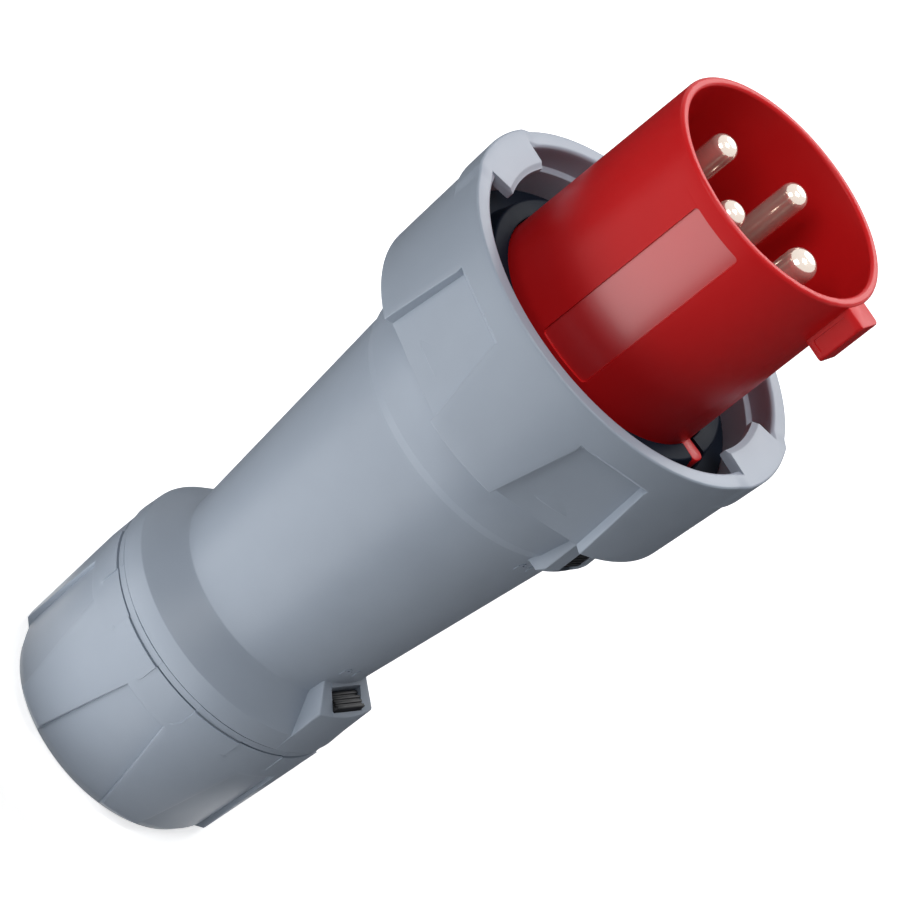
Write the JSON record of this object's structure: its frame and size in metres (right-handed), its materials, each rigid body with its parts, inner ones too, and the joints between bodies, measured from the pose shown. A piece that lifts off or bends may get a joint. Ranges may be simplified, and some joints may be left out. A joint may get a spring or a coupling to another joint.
{
  "type": "industrial pin and sleeve plug",
  "caption": "Heavy-current cable plug with contact pins in a keyed sleeve, a turning bayonet ring, a tapered handle and a screwed cable gland.",
  "frame": {"origin": "centre of the gland cap's rear face, on which the plug stands", "axes": "+Z along the plug's axis from the cable gland to the contact pins, +X towards the sleeve's key and the earth contact"},
  "size_m": [0.1432, 0.141, 0.33],
  "materials": {
    "housing_grey": "satin moulded grey polyamide",
    "sleeve_red": "satin moulded red polyamide",
    "carrier_dark": "moulded dark polyamide",
    "contact_nickel": "bright nickel plate",
    "screw_steel": "zinc-plated steel",
    "seal_rubber": "moulded dark rubber",
    "lock_black": "moulded black polyamide"
  },
  "bodies": {
    "housing": {"handle": "housing_grey", "shroud": "sleeve_red", "contact_carrier": "carrier_dark", "rear_carrier": "carrier_dark", "phase_pin_1": "contact_nickel", "phase_pin_2": "contact_nickel", "phase_pin_3": "contact_nickel", "earth_pin": "contact_nickel", "pilot_pin": "contact_nickel", "phase_1_screws": "screw_steel", "phase_2_screws": "screw_steel", "phase_3_screws": "screw_steel", "earth_screws": "screw_steel", "pilot_screw": "screw_steel", "carrier_screws": "screw_steel", "shroud_screws": "screw_steel", "front_seal": "seal_rubber", "housing_seal": "seal_rubber", "gland_seal": "seal_rubber", "ring_retainer": "screw_steel", "clamp_jaws": "carrier_dark"},
    "bayonet_ring": {"bayonet_ring": "housing_grey"},
    "thrust_ring": {"thrust_ring": "carrier_dark"},
    "gland_cap": {"gland_cap": "housing_grey"},
    "gland_lock": {"gland_lock": "lock_black"},
    "housing_lock": {"housing_lock": "lock_black"}
  },
  "joints": [
    {"name": "bayonet_turn", "type": "hinge", "parent": "housing", "child": "bayonet_ring", "pos_m": [0, 0, 0.215], "axis": [0, 0, 1], "range_deg": [0, 45]},
    {"name": "gland_advance", "type": "slide", "parent": "housing", "child": "thrust_ring", "axis": [0, 0, -1], "range_m": [0, 0.0121]},
    {"name": "gland_turn", "type": "hinge", "parent": "thrust_ring", "child": "gland_cap", "pos_m": [0, 0, 0.03], "axis": [0, 0, -1], "range_deg": [0, 1080]},
    {"name": "gland_lock_slide", "type": "slide", "parent": "housing", "child": "gland_lock", "axis": [0, 0, -1], "range_m": [0, 0.0033]},
    {"name": "housing_lock_slide", "type": "slide", "parent": "housing", "child": "housing_lock", "axis": [0, 0, -1], "range_m": [0, 0.0033]}
  ],
  "couplings": [
    {"joint": "gland_advance", "follows": "gland_turn", "m_per_rad": 0.00063662}
  ]
}
